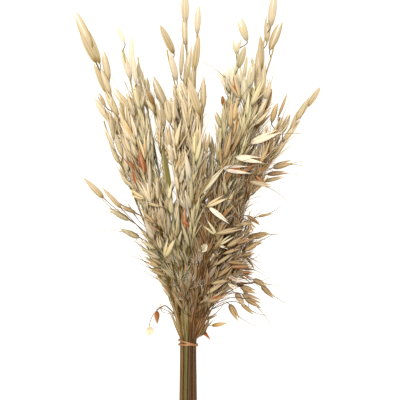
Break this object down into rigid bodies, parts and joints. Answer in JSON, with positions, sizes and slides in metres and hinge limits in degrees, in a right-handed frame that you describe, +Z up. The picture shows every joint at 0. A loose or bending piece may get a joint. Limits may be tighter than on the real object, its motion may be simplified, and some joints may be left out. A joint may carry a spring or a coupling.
{
  "type": "dried oats bundle",
  "caption": "Dried oat stems with drooping spikelets, cut to length and held by an elastic band, lying flat as a decorative bunch.",
  "frame": {"origin": "on the table plane, straight below the middle of the elastic band", "axes": "+Y along the stems towards the panicles, +Z up from the table, +X to the right for someone who looks down with the panicles away from them"},
  "size_m": [0.269, 0.5904, 0.0875],
  "materials": {
    "straw_oat": "dry, papery straw with fine lengthwise ribs",
    "green_oat": "dry, papery straw that kept a grey-green tone",
    "tan_oat": "dry, papery straw weathered to tan",
    "elastic_band": "smooth satin rubber, tan"
  },
  "bodies": {
    "root": {"elastic_band": "elastic_band", "oat_stem_01": "straw_oat", "oat_stem_02": "straw_oat", "oat_stem_03": "green_oat", "oat_stem_04": "straw_oat", "oat_stem_05": "straw_oat", "oat_stem_06": "straw_oat", "oat_stem_07": "green_oat", "oat_stem_08": "straw_oat", "oat_stem_09": "green_oat", "oat_stem_10": "green_oat", "oat_stem_11": "straw_oat", "oat_stem_12": "straw_oat", "oat_stem_13": "straw_oat", "oat_stem_14": "straw_oat", "oat_stem_15": "straw_oat", "oat_stem_16": "straw_oat", "oat_stem_17": "green_oat", "oat_stem_18": "green_oat", "oat_stem_19": "green_oat", "oat_stem_20": "straw_oat", "oat_stem_21": "straw_oat", "oat_stem_22": "straw_oat", "oat_stem_23": "tan_oat", "oat_stem_24": "green_oat", "oat_stem_25": "tan_oat", "oat_stem_26": "tan_oat", "oat_stem_27": "tan_oat", "oat_stem_28": "tan_oat", "oat_stem_29": "tan_oat", "oat_stem_30": "tan_oat", "oat_stem_31": "tan_oat"}
  },
  "joints": []
}
